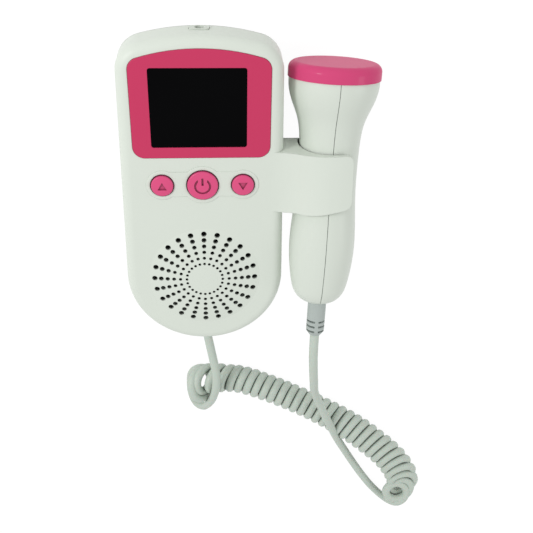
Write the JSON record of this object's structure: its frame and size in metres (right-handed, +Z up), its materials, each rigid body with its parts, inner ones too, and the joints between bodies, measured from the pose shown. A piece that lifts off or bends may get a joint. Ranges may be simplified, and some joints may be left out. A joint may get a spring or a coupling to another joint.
{
  "type": "fetal doppler monitor",
  "caption": "Handheld fetal doppler: a pod with display, buttons and domed speaker grille, an ultrasound probe held in a side clip, and a curly cord between them.",
  "frame": {"origin": "middle of the underside of the unit with its probe, on the table it lies on, the cord not counted", "axes": "+X to the unit's right, where the probe is clipped; +Y to the unit's head, where the display is; +Z up out of its face"},
  "size_m": [0.1474, 0.2799, 0.0459],
  "materials": {
    "casing": "satin, off-white with a faint green tint",
    "probe_casing": "satin, off-white",
    "bezel": "satin, crimson pink",
    "screen": "glossy, black when off",
    "lcd": "black display module",
    "flat_cable": "amber polyimide",
    "circuit_board": "green solder mask",
    "screw_steel": "zinc-plated",
    "switch": "black",
    "button": "satin, pink",
    "foam": "black foam",
    "speaker_frame": "dark",
    "speaker_paper": "black paper",
    "cell": "plain printed sleeve",
    "contact": "nickel-plated",
    "battery_cover": "satin, off-white",
    "socket": "black",
    "cord": "soft sheath, pale grey-green",
    "strain_relief": "soft, pale grey-green",
    "cap": "satin, pink",
    "carrier": "natural",
    "crystal": "silvered ceramic",
    "lead_wire": "insulated wire"
  },
  "bodies": {
    "unit": {"front_shell": "casing", "rear_shell": "casing", "bezel": "bezel", "display_window": "screen", "lcd_module": "lcd", "lcd_ribbon": "flat_cable", "main_board": "circuit_board", "board_screws": "screw_steel", "case_screws": "screw_steel", "up_switch": "switch", "power_switch": "switch", "down_switch": "switch", "speaker_gasket": "foam", "speaker_basket": "speaker_frame", "speaker_cone": "speaker_paper", "speaker_magnet": "speaker_frame", "battery_left": "cell", "battery_right": "cell", "battery_springs": "contact", "battery_plates": "contact", "headphone_jack": "socket", "cord_grommet": "cord", "cord_unit_tail": "cord", "cord_coil": "cord", "cord_probe_tail": "cord"},
    "up_key": {"up_button": "button"},
    "power_key": {"power_button": "button"},
    "down_key": {"down_button": "button"},
    "battery_lid": {"battery_cover": "battery_cover"},
    "probe": {"probe_shell_left": "probe_casing", "probe_shell_right": "probe_casing", "probe_cap": "cap", "crystal_carrier": "carrier", "transmit_crystal": "crystal", "receive_crystal": "crystal", "crystal_leads": "lead_wire", "probe_board": "circuit_board", "probe_cable_header": "carrier", "probe_strain_relief": "strain_relief"}
  },
  "joints": [
    {"name": "up_press", "type": "slide", "parent": "unit", "child": "up_key", "axis": [0, 0, -1], "range_m": [0, 0.0007], "stiffness_N_per_m": 1500, "springref_m": -0.0003},
    {"name": "power_press", "type": "slide", "parent": "unit", "child": "power_key", "axis": [0, 0, -1], "range_m": [0, 0.0007], "stiffness_N_per_m": 1500, "springref_m": -0.0003},
    {"name": "down_press", "type": "slide", "parent": "unit", "child": "down_key", "axis": [0, 0, -1], "range_m": [0, 0.0007], "stiffness_N_per_m": 1500, "springref_m": -0.0003},
    {"name": "battery_lid_slide", "type": "slide", "parent": "unit", "child": "battery_lid", "axis": [0, 0, -1], "range_m": [0, 0.015]},
    {"name": "probe_release", "type": "slide", "parent": "unit", "child": "probe", "axis": [0.9992, -0.0401, 0], "range_m": [0, 0.03]}
  ]
}
